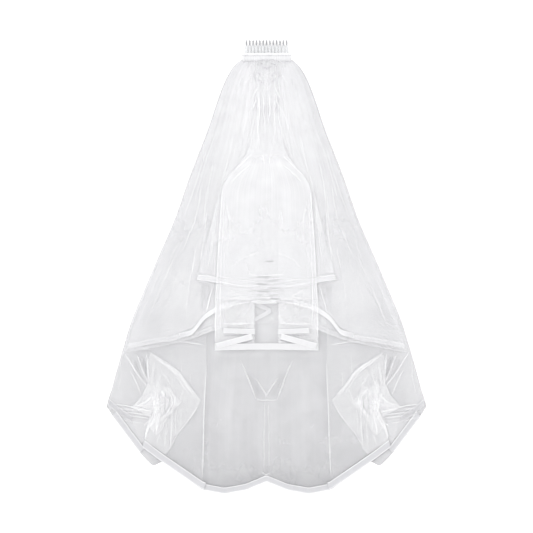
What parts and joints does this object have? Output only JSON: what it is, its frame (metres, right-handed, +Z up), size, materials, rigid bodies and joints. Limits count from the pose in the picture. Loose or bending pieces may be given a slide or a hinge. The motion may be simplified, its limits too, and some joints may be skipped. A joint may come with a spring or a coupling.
{
  "type": "bridal veil",
  "caption": "Two-tier white tulle bridal veil with satin ribbon edges, gathered onto a clear plastic hair comb and laid flat, its sides turned in and its short tier folded down the middle.",
  "frame": {"origin": "on the surface that the veil lies on, under the middle of its box", "axes": "+Y along the veil towards the comb, +X to the right of someone looking down at it with the comb at the far end, +Z up, away from the surface"},
  "size_m": [0.592, 0.8389, 0.0241],
  "materials": {
    "long_tulle": "soft white nylon tulle, a fine even net, matt and see-through",
    "short_tulle": "soft white nylon tulle, a fine even net, matt and see-through",
    "satin_ribbon": "white polyester satin ribbon with a soft sheen, stitched along its edges",
    "band_satin": "rolled and gathered white ribbon and tulle, matt",
    "clear_plastic": "clear moulded plastic, glossy"
  },
  "bodies": {
    "root": {"comb": "clear_plastic", "gathered_band": "band_satin", "long_tier_back": "long_tulle", "long_tier_turned_left": "long_tulle", "long_tier_turned_right": "long_tulle", "long_tier_flap_left": "long_tulle", "long_tier_flap_right": "long_tulle", "long_tier_heap_left": "long_tulle", "long_tier_heap_right": "long_tulle", "short_tier_back": "short_tulle", "short_tier_arch": "short_tulle", "short_tier_front": "short_tulle", "packed_top": "short_tulle", "packed_flap_left": "short_tulle", "packed_flap_right": "short_tulle", "hem_ribbon_middle": "satin_ribbon", "hem_ribbon_left": "satin_ribbon", "hem_ribbon_right": "satin_ribbon", "pinch_ribbon_left": "satin_ribbon", "pinch_ribbon_right": "satin_ribbon", "corner_ribbon_left": "satin_ribbon", "corner_ribbon_right": "satin_ribbon", "short_hem_ribbon_left": "satin_ribbon", "short_hem_ribbon_right": "satin_ribbon", "arch_hem_ribbon_left": "satin_ribbon", "arch_hem_ribbon_right": "satin_ribbon", "front_hem_ribbon": "satin_ribbon", "packed_hem_ribbon": "satin_ribbon", "zigzag_lower_left": "satin_ribbon", "zigzag_lower_right": "satin_ribbon", "zigzag_upper_left": "satin_ribbon", "zigzag_upper_right": "satin_ribbon", "middle_zigzag_upper": "satin_ribbon", "middle_zigzag_lower": "satin_ribbon", "middle_ruffle_1": "satin_ribbon", "middle_ruffle_2": "satin_ribbon", "middle_ruffle_3": "satin_ribbon"}
  },
  "joints": []
}
